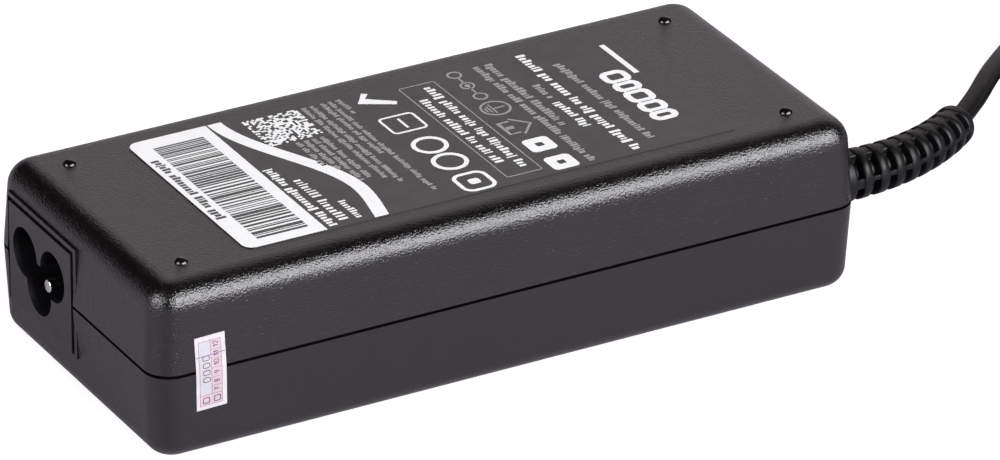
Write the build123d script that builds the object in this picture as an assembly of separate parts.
"""Laptop power adapter: welded case, clover-leaf mains inlet, circuit board, DC lead with a barrel plug.

Millimetres. Origin at the centre of the case underside: +X towards the DC lead, -X towards the mains inlet,
-Y the long front face, +Z out of the labelled face.
"""
import math
import os

from build123d import *

# ---- driving dimensions: case ----
CASE_LENGTH = 132.0
CASE_WIDTH = 58.5
CASE_HEIGHT = 31.0
SEAM_HEIGHT = 15.8
CORNER_RADIUS = 4.6
TOP_EDGE_RADIUS = 4.5
BOTTOM_EDGE_RADIUS = 3.6
TOP_DRAFT = 3.2
BOTTOM_DRAFT = 2.5
WALL = 2.2
SEAM_GROOVE = 0.55
SEAM_GROOVE_DEPTH = 0.7
TONGUE_HEIGHT = 1.2
TONGUE_CLEARANCE = 0.1
DRAFT_ROOM = 0.65
PIP_X = 56.5
PIP_Y = 19.9
PIP_RADIUS = 1.2
PIP_HEIGHT = 0.8

# ---- mains inlet, on the -X end ----
PAD_Y = (-0.5, 24.3)
PAD_Z = (6.6, 26.5)
PLATE_Y = (1.1, 23.5)
PLATE_Z = (7.0, 25.05)
PLATE_GAP = 0.65
PAD_SETBACK = 0.15
INLET_Y = 12.8
EAR_SPREAD = 5.0
EAR_Z = 17.9
HEAD_Z = 13.2
LOBE_RADIUS = 4.38
SOCKET_DEPTH = 12.5
INLET_DEPTH = 15.0
PIN_RADIUS = 1.2
POLE_SPREAD = 5.0
POLE_Z = 17.9
EARTH_Z = 13.6
POLE_SETBACK = 3.0
EARTH_SETBACK = 1.5
PIN_ROUND = 0.3
PIN_SHOULDER_RADIUS = 1.45
PIN_TAIL_RADIUS = 0.9
PIN_TAIL = 2.4

# ---- DC lead ----
CORD_DIAMETER = 3.7
BOOT_Y = -19.2
BOOT_STRAIGHT_END = 72.0
BOOT_BEND_RADIUS = 40.0
BOOT_BEND = 38.0
BOOT_DIAMETER = 9.0
BOOT_TIP_DIAMETER = 7.3
BOOT_CORE_DIAMETER = 5.4
BOOT_FLANGE_DIAMETER = 12.5
BOOT_FLANGE_THICKNESS = 2.0
BOOT_COLLAR = 3.6
SLOT_COUNT = 9
SLOT_PITCH = 3.1
SLOT_WIDTH = 1.35
SIDE_WEB = 1.1
FIRST_SIDE_WEB = 2.0
WEB_RISE = 0.5
TOP_WEB = 2.6

# The lead's route outside the coil: from the tip of the strain relief to the coil, then on to the plug.
LEAD_ROUTE = [
    (96.63, -10.72, 15.8),
    (102.93, -5.79, 15.8),
    (110.8, 2.3, 15.2),
    (118.4, 9.9, 13.5),
    (125.2, 17.1, 11.1),
    (131.3, 23.3, 8.9),
]
TAIL_ROUTE = [
    (169.5, -17.3, 2.45),
    (163.0, -23.8, 2.45),
    (153.6, -27.94, 4.8),
    (143.2, -29.4, 4.8),
]

# The coil: two layers of four turns, wound inwards on the upper layer and back outwards on the lower one.
COIL_CENTRE = (160.0, 12.5)
COIL_INNER_TURN = 16.55
COIL_PITCH = 3.75
COIL_COLUMNS = 4
COIL_LAYERS = 2
COIL_TURNS = 7.5
TIE_THICKNESS = 0.6
TIE_WIDTH = 10.0
TIE_ANGLE = 180.0

# ---- plug ----
PLUG_BODY_RADIUS = 5.2
PLUG_FLAT = 4.8
PLUG_BODY_LENGTH = 22.0
PLUG_BOOT_LENGTH = 13.0
BARREL_RADIUS = 3.7
BARREL_COLLAR_RADIUS = 4.1
BARREL_WALL = 0.35
BARREL_LENGTH = 9.5
INNER_CONTACT_RADIUS = 2.5
INNER_CONTACT_WALL = 0.3
CENTRE_PIN_RADIUS = 0.4
CONTACT_ROOT = 4.0
CONTACT_STEP = 0.8

# ---- inside ----
SHEET = 0.3
INSULATOR = 0.4
TRAY_X = (-48.0, 59.5)
TRAY_HALF_WIDTH = 25.3
LOWER_TRAY_Z = (2.5, 15.0)
UPPER_TRAY_Z = (16.6, 28.3)
BOARD_X = (-46.5, 57.0)
BOARD_HALF_WIDTH = 24.0
BOARD_THICKNESS = 1.6
BOARD_TOP = 7.6


def span(x, y, z):
    """A box between the given pairs of limits."""
    middle = [(low + high) / 2 for low, high in (x, y, z)]
    return Pos(*middle) * Box(x[1] - x[0], y[1] - y[0], z[1] - z[0])


def rod(start, end, radius):
    """A cylinder between two points."""
    axis = Vector(*end) - Vector(*start)
    return Plane(origin=start, z_dir=axis) * Cylinder(
        radius, axis.length, align=(Align.CENTER, Align.CENTER, Align.MIN)
    )


def tube_path(route):
    """Straight runs joined by arcs, each as large as its two runs allow; prints the arc radii."""
    points = [Vector(*p) for p in route]
    radii = []
    for before, corner, after in zip(points, points[1:], points[2:]):
        turn = math.radians((corner - before).get_angle(after - corner))
        run = min((corner - before).length, (after - corner).length)
        radii.append(0.45 * run / math.tan(turn / 2))
    print("bend radii", [round(r, 1) for r in radii])
    return FilletPolyline(*route, radius=radii)


def cord_tube(route, name):
    path = tube_path(route)
    section = Plane(origin=path @ 0, z_dir=path % 0) * Circle(CORD_DIAMETER / 2)
    tube = sweep(section, path=path)
    expected = path.length * math.pi * CORD_DIAMETER**2 / 4
    print(name, "length", round(path.length, 1), "volume", round(tube.volume, 1), "of", round(expected, 1))
    return tube


# ---------------------------------------------------------------- case


def outline(inset, z):
    """The case's rounded rectangle at the seam, inset and placed at a height."""
    radius = max(CORNER_RADIUS - inset, 0.8)
    return Pos(0, 0, z) * RectangleRounded(CASE_LENGTH - 2 * inset, CASE_WIDTH - 2 * inset, radius)


def drafted_block(inset, z_from, z_to, draft):
    """A rounded block with drafted walls, inset from the outside of the case at its z_from end."""
    shrink = 2 * abs(z_to - z_from) * math.tan(math.radians(draft))
    radius = max(CORNER_RADIUS - inset, 0.8)
    length, width = CASE_LENGTH - 2 * inset, CASE_WIDTH - 2 * inset
    far_end = Pos(0, 0, z_to) * RectangleRounded(length - shrink, width - shrink, radius)
    return loft([outline(inset, z_from), far_end], ruled=True)


def half_shell(z_end, draft, edge_radius):
    """One half of the case: outer block less the hollow, with rounded edges."""
    floor = z_end - math.copysign(WALL, z_end - SEAM_HEIGHT)
    outer = drafted_block(0, SEAM_HEIGHT, z_end, draft)
    outer = fillet(outer.edges().filter_by_position(Axis.Z, z_end, z_end), edge_radius)
    hollow = drafted_block(WALL, SEAM_HEIGHT, floor, draft)
    hollow = fillet(hollow.edges().filter_by_position(Axis.Z, floor, floor), edge_radius - WALL)
    return outer - hollow


def seam_ring(outer_inset, inner_inset, z_from, z_to):
    """A straight ring that follows the seam between two insets."""
    return extrude(outline(outer_inset, z_from) - outline(inner_inset, z_from), z_to - z_from)


def seam_groove():
    """The narrow groove that runs all round between the halves."""
    low = SEAM_HEIGHT - SEAM_GROOVE / 2
    around = Pos(0, 0, low) * Rectangle(CASE_LENGTH + WALL, CASE_WIDTH + WALL)
    return extrude(around - outline(SEAM_GROOVE_DEPTH, low), SEAM_GROOVE)


def inlet_pad():
    """The raised frame round the inlet: upright, so it stands proud of the drafted wall."""
    face = -CASE_LENGTH / 2 + PAD_SETBACK
    return span((face, face + WALL), PAD_Y, PAD_Z)


def inlet_opening():
    y = (PLATE_Y[0] - PLATE_GAP, PLATE_Y[1] + PLATE_GAP)
    z = (PLATE_Z[0], PLATE_Z[1] + PLATE_GAP)
    return span((-CASE_LENGTH, -CASE_LENGTH / 2 + 2 * WALL), y, z)


def boot_opening():
    x = CASE_LENGTH / 2
    return rod((x - 2 * WALL, BOOT_Y, SEAM_HEIGHT), (x + WALL, BOOT_Y, SEAM_HEIGHT), BOOT_DIAMETER / 2 + 0.05)


def half_space(above):
    z = (SEAM_HEIGHT, CASE_HEIGHT) if above else (0, SEAM_HEIGHT)
    return span((-CASE_LENGTH, CASE_LENGTH), (-CASE_WIDTH, CASE_WIDTH), z)


def top_case():
    shell = half_shell(CASE_HEIGHT, TOP_DRAFT, TOP_EDGE_RADIUS)
    shell += inlet_pad() & half_space(above=True)
    groove_top = SEAM_HEIGHT + TONGUE_HEIGHT + TONGUE_CLEARANCE
    shell -= seam_ring(WALL / 2 - TONGUE_CLEARANCE, WALL, SEAM_HEIGHT, groove_top)
    ball_radius = (PIP_RADIUS**2 + PIP_HEIGHT**2) / (2 * PIP_HEIGHT)
    for x in (-PIP_X, PIP_X):
        for y in (-PIP_Y, PIP_Y):
            shell += Pos(x, y, CASE_HEIGHT + PIP_HEIGHT - ball_radius) * Sphere(ball_radius)
    return shell - seam_groove() - inlet_opening() - boot_opening()


def bottom_case():
    shell = half_shell(0, BOTTOM_DRAFT, BOTTOM_EDGE_RADIUS)
    shell += inlet_pad() & half_space(above=False)
    shell += seam_ring(WALL / 2, WALL, SEAM_HEIGHT - 1.0, SEAM_HEIGHT + TONGUE_HEIGHT)
    # two ribs behind the inlet and one behind the strain relief carry them on the floor of the case
    for y in (INLET_Y - 7.5, INLET_Y + 7.5):
        shell += span((-61.4, -52.0), (y - 0.8, y + 0.8), (WALL - 0.5, PLATE_Z[0] + 0.9))
    flange_bottom = SEAM_HEIGHT - BOOT_FLANGE_DIAMETER / 2
    shell += span((BOOT_BACK, BOOT_FLANGE_FACE), (BOOT_Y - 4, BOOT_Y + 4), (WALL - 0.5, flange_bottom - 0.1))
    return shell - seam_groove() - inlet_opening() - boot_opening()


def rating_label():
    """The label on the top face: small round corners towards the inlet, one large one at the far back."""
    label = span((-45.5, 45.6), (-21.4, 21.4), (CASE_HEIGHT, CASE_HEIGHT + 0.15))
    corners = label.edges().filter_by(Axis.Z).sort_by(Axis.X)
    label = fillet(corners[:2], 2.0)
    return fillet(label.edges().filter_by(Axis.Z).sort_by(Axis.X)[-2:].sort_by(Axis.Y)[-1], 5.0)


def date_sticker():
    """A strip that lies on both drafted halves of the front face, across the seam."""
    thickness = 0.12
    face_y = -CASE_WIDTH / 2
    x, z_low, z_high = (-58.9, -53.4), 8.7, 21.9
    low_shoulder, high_shoulder = SEAM_HEIGHT - SEAM_GROOVE / 2, SEAM_HEIGHT + SEAM_GROOVE / 2
    low_y = face_y + (low_shoulder - z_low) * math.tan(math.radians(BOTTOM_DRAFT))
    high_y = face_y + (z_high - high_shoulder) * math.tan(math.radians(TOP_DRAFT))
    line = [(low_y, z_low), (face_y, low_shoulder), (face_y, high_shoulder), (high_y, z_high)]
    profile = line + [(y - thickness, z) for y, z in reversed(line)]
    face = make_face(Polyline(*profile, close=True))
    return Pos(x[0], 0, 0) * extrude(Plane.YZ * face, x[1] - x[0])


# ---------------------------------------------------------------- mains inlet

POLE_Y = {"line": INLET_Y - POLE_SPREAD, "neutral": INLET_Y + POLE_SPREAD, "earth": INLET_Y}
POLE_HEIGHT = {"line": POLE_Z, "neutral": POLE_Z, "earth": EARTH_Z}
TIP_SETBACK = {"line": POLE_SETBACK, "neutral": POLE_SETBACK, "earth": EARTH_SETBACK}
INLET_FACE = -CASE_LENGTH / 2
INLET_BACK = INLET_FACE + INLET_DEPTH


def clover(x_from, x_to):
    """The socket's clover-leaf hollow: three round lobes and the triangle between their centres."""
    centres = [(INLET_Y - EAR_SPREAD, EAR_Z), (INLET_Y + EAR_SPREAD, EAR_Z), (INLET_Y, HEAD_Z)]
    hollow = extrude(Plane.YZ * make_face(Polyline(*centres, close=True)), x_to - x_from)
    hollow = Pos(x_from, 0, 0) * hollow
    for y, z in centres:
        hollow += rod((x_from, y, z), (x_to, y, z), LOBE_RADIUS)
    return hollow


def inlet_body():
    rim_x = (INLET_FACE + WALL + DRAFT_ROOM, INLET_FACE + WALL + DRAFT_ROOM + 1.6)
    plate = span((INLET_FACE, rim_x[0]), PLATE_Y, (PLATE_Z[0] + 0.05, PLATE_Z[1]))
    rim = span(rim_x, (PLATE_Y[0] - 1.2, PLATE_Y[1] + 1.2), (PLATE_Z[0] - 0.8, PLATE_Z[1] + 1.2))
    block_y = (INLET_Y - EAR_SPREAD - LOBE_RADIUS - 1.0, INLET_Y + EAR_SPREAD + LOBE_RADIUS + 1.0)
    block = span((rim_x[1], INLET_BACK), block_y, (PLATE_Z[0] + 1, PLATE_Z[1] - 1))
    body = plate + rim + block - clover(INLET_FACE - 1, INLET_FACE + SOCKET_DEPTH)
    for pole, y in POLE_Y.items():
        z = POLE_HEIGHT[pole]
        body -= rod((INLET_FACE, y, z), (INLET_BACK + 1, y, z), PIN_SHOULDER_RADIUS)
    return body


def inlet_pin(pole):
    """A round contact pin: bare in the socket, thicker in the moulding, thin where its wire joins."""
    y, z = POLE_Y[pole], POLE_HEIGHT[pole]
    tip, root = INLET_FACE + TIP_SETBACK[pole], INLET_FACE + SOCKET_DEPTH
    contact = rod((tip, y, z), (root, y, z), PIN_RADIUS)
    contact = fillet(contact.edges().filter_by(GeomType.CIRCLE).sort_by(Axis.X)[0], PIN_ROUND)
    shoulder = rod((root, y, z), (INLET_BACK, y, z), PIN_SHOULDER_RADIUS)
    return contact + shoulder + rod((INLET_BACK, y, z), (INLET_BACK + PIN_TAIL, y, z), PIN_TAIL_RADIUS)


# ---------------------------------------------------------------- DC lead


def boot_frame(distance):
    """Centre plane of the strain relief at a distance from the case wall, its normal along the axis."""
    straight = BOOT_STRAIGHT_END - CASE_LENGTH / 2
    if distance <= straight:
        centre = (CASE_LENGTH / 2 + distance, BOOT_Y, SEAM_HEIGHT)
        return Plane(origin=centre, x_dir=(0, -1, 0), z_dir=(1, 0, 0))
    angle = (distance - straight) / BOOT_BEND_RADIUS
    x = BOOT_STRAIGHT_END + BOOT_BEND_RADIUS * math.sin(angle)
    y = BOOT_Y + BOOT_BEND_RADIUS * (1 - math.cos(angle))
    side = (math.sin(angle), -math.cos(angle), 0)
    return Plane(origin=(x, y, SEAM_HEIGHT), x_dir=side, z_dir=(math.cos(angle), math.sin(angle), 0))


BOOT_LENGTH = BOOT_STRAIGHT_END - CASE_LENGTH / 2 + BOOT_BEND_RADIUS * math.radians(BOOT_BEND)
BOOT_FLANGE_FACE = CASE_LENGTH / 2 - WALL - DRAFT_ROOM
BOOT_BACK = BOOT_FLANGE_FACE - BOOT_FLANGE_THICKNESS


def slot_cutter(index):
    """One ring groove, interrupted by four webs: wide ones above and below, narrower ones at the sides."""
    ring = Cylinder(BOOT_DIAMETER, SLOT_WIDTH) - Cylinder(BOOT_CORE_DIAMETER / 2, SLOT_WIDTH)
    web, rise = (SIDE_WEB, WEB_RISE) if index else (FIRST_SIDE_WEB, 0)
    ring -= Pos(0, -rise, 0) * Box(4 * BOOT_DIAMETER, web, SLOT_WIDTH)
    ring -= Box(TOP_WEB, 4 * BOOT_DIAMETER, SLOT_WIDTH)
    return boot_frame(BOOT_COLLAR + SLOT_PITCH * index) * ring


def cord_boot():
    stations = 9
    distances = [BOOT_LENGTH * i / (stations - 1) for i in range(stations)]
    sections = []
    for distance in distances:
        share = distance / BOOT_LENGTH
        radius = (BOOT_DIAMETER + (BOOT_TIP_DIAMETER - BOOT_DIAMETER) * share) / 2
        sections.append(boot_frame(distance) * Circle(radius))
    boot = loft(sections)
    for index in range(SLOT_COUNT):
        boot -= slot_cutter(index)
    neck_start = (BOOT_FLANGE_FACE, BOOT_Y, SEAM_HEIGHT)
    neck_end = (CASE_LENGTH / 2, BOOT_Y, SEAM_HEIGHT)
    boot += rod(neck_start, neck_end, BOOT_DIAMETER / 2)
    return boot + rod((BOOT_BACK, BOOT_Y, SEAM_HEIGHT), neck_start, BOOT_FLANGE_DIAMETER / 2)


COIL_OUTER_TURN = COIL_INNER_TURN + COIL_PITCH * (COIL_COLUMNS - 1)
COIL_MEAN_RADIUS = (COIL_OUTER_TURN + COIL_INNER_TURN) / 2
COIL_WIDTH = COIL_OUTER_TURN - COIL_INNER_TURN + CORD_DIAMETER
COIL_HEIGHT = CORD_DIAMETER + COIL_PITCH * (COIL_LAYERS - 1)
COIL_EDGE_RADIUS = 1.8
TIE_GAP = 0.05
COIL_SECTION_PLACE = Plane.XZ * Pos(COIL_MEAN_RADIUS, TIE_THICKNESS + TIE_GAP + COIL_HEIGHT / 2)


def stub(start, direction, length):
    """A short straight end of the lead where it runs into the coil."""
    return rod(start, Vector(*start) + Vector(*direction).normalized() * length, CORD_DIAMETER / 2)


def dc_cord_coil():
    """Outer shape of the wound turns, with the lead's two ends running into it."""
    section = COIL_SECTION_PLACE * RectangleRounded(COIL_WIDTH, COIL_HEIGHT, COIL_EDGE_RADIUS)
    print("dc_cord_coil length", round(COIL_TURNS * 2 * math.pi * COIL_MEAN_RADIUS, 1))
    coil = Pos(*COIL_CENTRE, 0) * revolve(section, Axis.Z)
    lead_in = Vector(*LEAD_ROUTE[-1]) - Vector(*LEAD_ROUTE[-2])
    tail_out = Vector(*TAIL_ROUTE[0]) - Vector(*TAIL_ROUTE[1])
    return coil + stub(LEAD_ROUTE[-1], lead_in, 12) + stub(TAIL_ROUTE[0], tail_out, 13)


def cord_tie():
    """A strap wrapped closely round the turns, curved along with them."""
    width, height = COIL_WIDTH + 2 * TIE_GAP, COIL_HEIGHT + 2 * TIE_GAP
    outside = (width + 2 * TIE_THICKNESS, height + 2 * TIE_THICKNESS)
    band = RectangleRounded(*outside, COIL_EDGE_RADIUS + TIE_THICKNESS)
    band -= RectangleRounded(width, height, COIL_EDGE_RADIUS)
    arc = math.degrees(TIE_WIDTH / COIL_MEAN_RADIUS)
    start = Pos(*COIL_CENTRE, 0) * Rot(0, 0, TIE_ANGLE - arc / 2)
    return start * revolve(COIL_SECTION_PLACE * band, Axis.Z, arc)


# ---------------------------------------------------------------- plug

PLUG_DIRECTION = Vector(*TAIL_ROUTE[-1]) - Vector(*TAIL_ROUTE[-2])
PLUG_FRAME = Plane(origin=TAIL_ROUTE[-1], x_dir=(0, 0, 1), z_dir=PLUG_DIRECTION)
BODY_START = PLUG_BOOT_LENGTH
BODY_END = PLUG_BOOT_LENGTH + PLUG_BODY_LENGTH


def plug_cylinder(radius, start, end):
    """A cylinder on the plug's axis, between two distances from the cord's end."""
    return PLUG_FRAME * Pos(0, 0, start) * Cylinder(
        radius, end - start, align=(Align.CENTER, Align.CENTER, Align.MIN)
    )


def plug_body():
    grip = plug_cylinder(PLUG_BODY_RADIUS, BODY_START, BODY_END)
    grip = fillet(grip.edges().filter_by(GeomType.CIRCLE), 0.9)
    for side in (-1, 1):
        flat = Box(2, 4 * PLUG_BODY_RADIUS, 2 * BODY_END)
        grip -= PLUG_FRAME * Pos(side * (PLUG_FLAT + 1), 0, BODY_END) * flat
    taper = loft([PLUG_FRAME * Circle(2.5), PLUG_FRAME * Pos(0, 0, BODY_START + 1) * Circle(3.6)])
    for index in range(4):
        groove = Cylinder(6, 1.1) - Cylinder(2.1, 1.1) - Box(1.2, 14, 1.1) - Box(14, 1.2, 1.1)
        taper -= PLUG_FRAME * Pos(0, 0, 2.4 + 2.6 * index) * groove
    return grip + taper - plug_cylinder(BARREL_COLLAR_RADIUS, BODY_END - CONTACT_ROOT, BODY_END + 1)


def contact_sleeve(radius, wall, start, end):
    return plug_cylinder(radius, start, end) - plug_cylinder(radius - wall, start, end)


def plug_barrel():
    """The outer contact: a plain sleeve, with a thicker collar that the moulding holds."""
    collar_wall = BARREL_COLLAR_RADIUS - BARREL_RADIUS + BARREL_WALL
    collar = contact_sleeve(BARREL_COLLAR_RADIUS, collar_wall, BODY_END - CONTACT_ROOT, BODY_END)
    return collar + contact_sleeve(BARREL_RADIUS, BARREL_WALL, BODY_END, BODY_END + BARREL_LENGTH)


def plug_insulator():
    """Fills the space between the two contact sleeves, with a plug at the root that holds the centre pin."""
    tip = BODY_END + BARREL_LENGTH
    outer = BARREL_RADIUS - BARREL_WALL
    inner = INNER_CONTACT_RADIUS + INNER_CONTACT_WALL
    back = BODY_END - CONTACT_ROOT
    root = plug_cylinder(outer, back, back + CONTACT_STEP)
    root += plug_cylinder(INNER_CONTACT_RADIUS, back, BODY_END - 1)
    pin = plug_cylinder(CENTRE_PIN_RADIUS, back, tip)
    return contact_sleeve(outer, outer - inner, back, tip) + (root - pin)


def plug_inner_contact():
    radius = INNER_CONTACT_RADIUS + INNER_CONTACT_WALL
    tip = BODY_END + BARREL_LENGTH
    return contact_sleeve(radius, INNER_CONTACT_WALL, BODY_END - CONTACT_ROOT + CONTACT_STEP, tip)


def plug_centre_pin():
    return plug_cylinder(CENTRE_PIN_RADIUS, BODY_END - CONTACT_ROOT, BODY_END + BARREL_LENGTH - 1.5)


# ---------------------------------------------------------------- inside the case


def folded_tray(z_floor, z_rim, inset, thickness):
    """A sheet folded up at both long edges; z_rim above z_floor opens upwards, below it opens downwards."""
    half = TRAY_HALF_WIDTH - inset
    way = math.copysign(1, z_rim - z_floor)
    x = (TRAY_X[0] + inset, TRAY_X[1] - inset)
    z = sorted((z_floor, z_rim))
    inner = sorted((z_floor + way * thickness, z_rim + way))
    return span(x, (-half, half), z) - span(x, (-half + thickness, half - thickness), inner)


def on_board(x, y, height):
    """A box that stands on the circuit board."""
    return span(x, y, (BOARD_TOP, BOARD_TOP + height))


def legs(points, radius=0.4):
    """Component legs, soldered on the board's top face."""
    return [rod((x, y, BOARD_TOP), (x, y, z), radius) for x, y, z in points]


def standing_disc(x, y, radius, thickness):
    """A disc component on two legs, its axis along Y."""
    centre = BOARD_TOP + 1.5 + radius
    disc = rod((x, y - thickness / 2, centre), (x, y + thickness / 2, centre), radius)
    for leg in legs([(x - radius / 2, y, centre), (x + radius / 2, y, centre)]):
        disc += leg
    return disc


def main_board():
    return span(BOARD_X, (-BOARD_HALF_WIDTH, BOARD_HALF_WIDTH), (BOARD_TOP - BOARD_THICKNESS, BOARD_TOP))


def board_spacers():
    bottom = LOWER_TRAY_Z[0] + SHEET + INSULATOR
    pads = []
    for x in (BOARD_X[0] + 8, BOARD_X[1] - 8):
        for y in (-18, 18):
            pads.append(span((x - 4, x + 4), (y - 3, y + 3), (bottom, BOARD_TOP - BOARD_THICKNESS)))
    return Compound(pads)


FUSE_Y = -20.5
FUSE_Z = BOARD_TOP + 3.4


def input_fuse():
    return rod((-42, FUSE_Y, FUSE_Z), (-26, FUSE_Y, FUSE_Z), 2.5)


def fuse_end_caps():
    caps = []
    for start, end, leg_x in ((-44.5, -42, -43.2), (-26, -23.5, -24.8)):
        cap = rod((start, FUSE_Y, FUSE_Z), (end, FUSE_Y, FUSE_Z), 2.6)
        caps.append(cap + rod((leg_x, FUSE_Y, BOARD_TOP), (leg_x, FUSE_Y, FUSE_Z), 0.5))
    return Compound(caps)


def x_capacitor():
    block = on_board((-42.5, -34.0), (3, 21), 15)
    return fillet(block.edges().filter_by(Axis.Z), 0.6)


def y_capacitors():
    places = [(-38, -8.0), (-38, -3.5), (29, -20.5)]
    return Compound([standing_disc(x, y, 3.6, 3.0) for x, y in places])


CHOKE = (-23.0, 9.5)


def choke_core():
    ring = Cylinder(9.0, 8.0, align=(Align.CENTER, Align.CENTER, Align.MIN))
    ring -= Cylinder(5.0, 20.0)
    return Pos(*CHOKE, BOARD_TOP + 1.2) * ring


def choke_windings():
    """Two halves of enamelled wire turns, each loop a flat ring of wire round the core."""
    loops = []
    for half in (0, 180):
        for index in range(9):
            angle = half - 48 + 12 * index
            loop = Box(6.6, 1.0, 10.2) - Box(4.4, 2.0, 8.2)
            loops.append(Pos(*CHOKE, BOARD_TOP + 5.2) * Rot(0, 0, angle) * Pos(7.0, 0, 0) * loop)
    return Compound(loops)


def bridge_rectifier():
    return on_board((-12.5, -9.0), (-22.5, -2.5), 17)


INDUCTOR_X = (-12.0, 9.0)
INDUCTOR_Y = (5.0, 23.0)


def boost_inductor_core():
    """A pot-type core: two plates and the round middle leg between them, with two outer legs."""
    mid_x, mid_y = sum(INDUCTOR_X) / 2, sum(INDUCTOR_Y) / 2
    core = on_board(INDUCTOR_X, INDUCTOR_Y, 3) + Pos(0, 0, 14) * on_board(INDUCTOR_X, INDUCTOR_Y, 3)
    core += rod((mid_x, mid_y, BOARD_TOP), (mid_x, mid_y, BOARD_TOP + 16), 3.6)
    for x in (INDUCTOR_X[0] + 1.2, INDUCTOR_X[1] - 1.2):
        core += on_board((x - 1.2, x + 1.2), INDUCTOR_Y, 16)
    return core


def boost_inductor_winding():
    mid_x, mid_y = sum(INDUCTOR_X) / 2, sum(INDUCTOR_Y) / 2
    start, end = (mid_x, mid_y, BOARD_TOP + 3.1), (mid_x, mid_y, BOARD_TOP + 13.9)
    return rod(start, end, 7.8) - rod(start, end, 3.7)


def bulk_capacitor():
    y, radius = -13.6, 8.5
    z = BOARD_TOP + radius + 0.1
    can = rod((-7.5, y, z), (22.5, y, z), radius)
    return fillet(can.edges().filter_by(GeomType.CIRCLE), 0.8)


PRIMARY_SINK_Y = (-4.4, -2.8)
SECONDARY_SINK_X = (53.6, 55.1)
TRANSISTOR_X = (-2.0, 15.0)
RECTIFIER_Y = 1.0
SCREW_Z = BOARD_TOP + 15.2
PAD_THICKNESS = 0.25
PACKAGE_DEPTH = 4.4


def primary_heatsink():
    sink = on_board((-7.5, 22.5), PRIMARY_SINK_Y, 18.5)
    for x in TRANSISTOR_X:
        sink -= rod((x, PRIMARY_SINK_Y[0] - 1, SCREW_Z), (x, PRIMARY_SINK_Y[1] + 1, SCREW_Z), 1.5)
    return sink


def secondary_heatsink():
    sink = on_board(SECONDARY_SINK_X, (-10, 12.5), 18.5)
    x = SECONDARY_SINK_X
    return sink - rod((x[0] - 1, RECTIFIER_Y, SCREW_Z), (x[1] + 1, RECTIFIER_Y, SCREW_Z), 1.5)


def power_package():
    """A three-leg power package in its own frame: back face at x = 0, screw hole along the x axis."""
    body = span((0, PACKAGE_DEPTH), (-5, 5), (-12.0, -2.8)) + span((0, 1.3), (-5, 5), (-2.8, 2.8))
    body -= rod((-1, 0, 0), (3, 0, 0), 1.6)
    for y in (-2.5, 0, 2.5):
        body += span((2.2, 2.8), (y - 0.4, y + 0.4), (BOARD_TOP - SCREW_Z, -12.0))
    return body


def package_mounts():
    """Where each power package's back face sits, with the way it faces."""
    mounts = [Pos(x, PRIMARY_SINK_Y[1] + PAD_THICKNESS, SCREW_Z) * Rot(0, 0, 90) for x in TRANSISTOR_X]
    return mounts, Pos(SECONDARY_SINK_X[0] - PAD_THICKNESS, RECTIFIER_Y, SCREW_Z) * Rot(0, 0, 180)


def switching_transistors():
    return Compound([mount * power_package() for mount in package_mounts()[0]])


def output_rectifier():
    return package_mounts()[1] * power_package()


def insulating_pads():
    pad = span((-PAD_THICKNESS, 0), (-5.5, 5.5), (-12.5, 3.2)) - rod((-1, 0, 0), (1, 0, 0), 1.6)
    primary, secondary = package_mounts()
    return Compound([mount * pad for mount in (*primary, secondary)])


def heatsink_screws():
    """Pan-head screws through each package and its heatsink."""
    screw = rod((-2.2, 0, 0), (1.3, 0, 0), 1.45) + rod((1.3, 0, 0), (3.2, 0, 0), 2.7)
    screw -= span((2.4, 4), (-2.0, 2.0), (-0.3, 0.3)) + span((2.4, 4), (-0.3, 0.3), (-2.0, 2.0))
    primary, secondary = package_mounts()
    return Compound([mount * screw for mount in (*primary, secondary)])


TRANSFORMER_X = (25.5, 47.5)
TRANSFORMER_Y = (-14.0, 11.0)


def transformer_core():
    """Two E-shaped halves seen as one: top and bottom yokes, two outer legs and the round middle leg."""
    mid_x, mid_y = sum(TRANSFORMER_X) / 2, sum(TRANSFORMER_Y) / 2
    yoke_y = (mid_y - 6, mid_y + 6)
    core = Pos(0, 0, 1.5) * on_board(TRANSFORMER_X, yoke_y, 3)
    core += Pos(0, 0, 15) * on_board(TRANSFORMER_X, yoke_y, 3)
    core += rod((mid_x, mid_y, BOARD_TOP + 2), (mid_x, mid_y, BOARD_TOP + 17), 4.4)
    for x in (TRANSFORMER_X[0] + 1.2, TRANSFORMER_X[1] - 1.2):
        core += Pos(0, 0, 2) * on_board((x - 1.2, x + 1.2), yoke_y, 15)
    return core


def transformer_bobbin():
    mid_x, mid_y = sum(TRANSFORMER_X) / 2, sum(TRANSFORMER_Y) / 2
    low, high = BOARD_TOP + 4.6, BOARD_TOP + 14.9
    spool = rod((mid_x, mid_y, low), (mid_x, mid_y, high), 5.4)
    for z in (low, high - 0.8):
        spool += rod((mid_x, mid_y, z), (mid_x, mid_y, z + 0.8), 8.4)
    spool -= rod((mid_x, mid_y, low - 1), (mid_x, mid_y, high + 1), 4.5)
    for side in (TRANSFORMER_Y[0], TRANSFORMER_Y[1] - 3):
        block = on_board((mid_x - 8, mid_x + 8), (side, side + 3), 5.4)
        bridge_y = sorted((side + 1.5, mid_y + math.copysign(7.5, side)))
        spool += block + span((mid_x - 4, mid_x + 4), bridge_y, (low, low + 0.8))
    return spool


def transformer_windings():
    mid_x, mid_y = sum(TRANSFORMER_X) / 2, sum(TRANSFORMER_Y) / 2
    start, end = (mid_x, mid_y, BOARD_TOP + 5.5), (mid_x, mid_y, BOARD_TOP + 14.0)
    return rod(start, end, 8.1) - rod(start, end, 5.5)


def output_capacitors():
    cans = []
    for x in (31.5, 41.5, 51.5):
        can = rod((x, 18.5, BOARD_TOP), (x, 18.5, BOARD_TOP + 16), 4.5)
        cans.append(fillet(can.edges().filter_by(GeomType.CIRCLE), 0.5))
    return Compound(cans)


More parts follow.
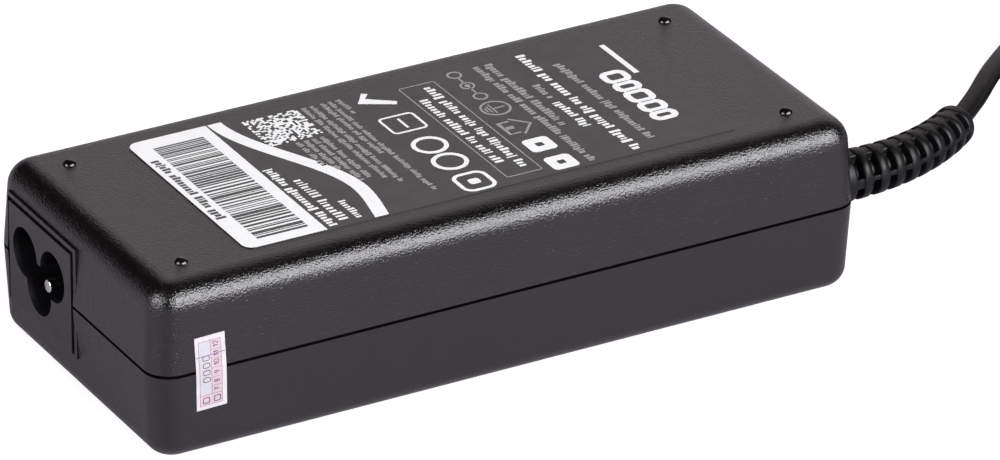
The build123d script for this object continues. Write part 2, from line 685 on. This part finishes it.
def output_choke():
    """A rod choke lying along X, wound in thick wire."""
    y, z = -19.0, BOARD_TOP + 4.3
    choke = rod((37, y, z), (52, y, z), 2.4)
    for index in range(7):
        x = 38.5 + 2.0 * index
        choke += rod((x - 0.75, y, z), (x + 0.75, y, z), 4.2)
    return choke


def optocoupler():
    body = on_board((16, 22.5), (12, 16.6), 3.6)
    return body + on_board((17, 21.5), (10.8, 17.8), 1.0)


def controller_chips():
    """Surface-mount controllers on the solder side of the board."""
    top = BOARD_TOP - BOARD_THICKNESS
    chips = []
    for x, y in ((4, 12), (20, 4), (46, 0)):
        chips.append(span((x - 2.5, x + 2.5), (y - 2, y + 2), (top - 1.6, top)))
    return Compound(chips)


def wire(points, radius):
    """An insulated wire with round bends."""
    path = FilletPolyline(*points, radius=1.6)
    return sweep(Plane(origin=path @ 0, z_dir=path % 0) * Circle(radius), path=path)


def inlet_wires():
    """Line and neutral, from the pin tails down to the board."""
    x = INLET_BACK + PIN_TAIL
    wires = []
    for pole in ("line", "neutral"):
        y, z = POLE_Y[pole], POLE_HEIGHT[pole]
        wires.append(wire([(x, y, z), (x + 3.1, y, z), (x + 3.1, y, BOARD_TOP)], 0.8))
    return Compound(wires)


def earth_wire():
    x, y, z = INLET_BACK + PIN_TAIL, POLE_Y["earth"], POLE_HEIGHT["earth"]
    return wire([(x, y, z), (x + 3.1, y, z), (x + 3.1, y, BOARD_TOP)], 0.8)


def output_wires():
    """The lead's two cores, from the back of the strain relief down to the board."""
    down = BOARD_X[1] - 1.5
    wires = []
    for y in (BOOT_Y - 1.6, BOOT_Y + 1.6):
        wires.append(wire([(BOOT_BACK, y, SEAM_HEIGHT), (down, y, SEAM_HEIGHT), (down, y, BOARD_TOP)], 0.9))
    return Compound(wires)


PARTS = {
    "top_case": top_case(),
    "bottom_case": bottom_case(),
    "rating_label": rating_label(),
    "date_sticker": date_sticker(),
    "inlet_body": inlet_body(),
    "inlet_line_pin": inlet_pin("line"),
    "inlet_neutral_pin": inlet_pin("neutral"),
    "inlet_earth_pin": inlet_pin("earth"),
    "cord_boot": cord_boot(),
    "dc_cord_lead": cord_tube(LEAD_ROUTE, "dc_cord_lead"),
    "dc_cord_coil": dc_cord_coil(),
    "dc_cord_tail": cord_tube(TAIL_ROUTE, "dc_cord_tail"),
    "cord_tie": cord_tie(),
    "plug_body": plug_body(),
    "plug_barrel": plug_barrel(),
    "plug_insulator": plug_insulator(),
    "plug_inner_contact": plug_inner_contact(),
    "plug_centre_pin": plug_centre_pin(),
    "main_board": main_board(),
    "board_spacers": board_spacers(),
    "lower_shield": folded_tray(*LOWER_TRAY_Z, 0, SHEET),
    "lower_insulator": folded_tray(LOWER_TRAY_Z[0] + SHEET, LOWER_TRAY_Z[1], SHEET, INSULATOR),
    "upper_shield": folded_tray(*reversed(UPPER_TRAY_Z), 0, SHEET),
    "upper_insulator": folded_tray(UPPER_TRAY_Z[1] - SHEET, UPPER_TRAY_Z[0], SHEET, INSULATOR),
    "input_fuse": input_fuse(),
    "fuse_end_caps": fuse_end_caps(),
    "varistor": standing_disc(-37, -14.0, 5.0, 4.0),
    "inrush_thermistor": standing_disc(-22, -12.0, 4.5, 4.0),
    "x_capacitor": x_capacitor(),
    "y_capacitors": y_capacitors(),
    "choke_core": choke_core(),
    "choke_windings": choke_windings(),
    "bridge_rectifier": bridge_rectifier(),
    "boost_inductor_core": boost_inductor_core(),
    "boost_inductor_winding": boost_inductor_winding(),
    "bulk_capacitor": bulk_capacitor(),
    "primary_heatsink": primary_heatsink(),
    "secondary_heatsink": secondary_heatsink(),
    "switching_transistors": switching_transistors(),
    "output_rectifier": output_rectifier(),
    "insulating_pads": insulating_pads(),
    "heatsink_screws": heatsink_screws(),
    "transformer_core": transformer_core(),
    "transformer_bobbin": transformer_bobbin(),
    "transformer_windings": transformer_windings(),
    "output_capacitors": output_capacitors(),
    "output_choke": output_choke(),
    "optocoupler": optocoupler(),
    "controller_chips": controller_chips(),
    "inlet_wires": inlet_wires(),
    "earth_wire": earth_wire(),
    "output_wires": output_wires(),
}

os.makedirs("parts", exist_ok=True)
for node, shape in PARTS.items():
    export_step(shape, f"parts/{node}.step")
print(len(PARTS), "nodes written")
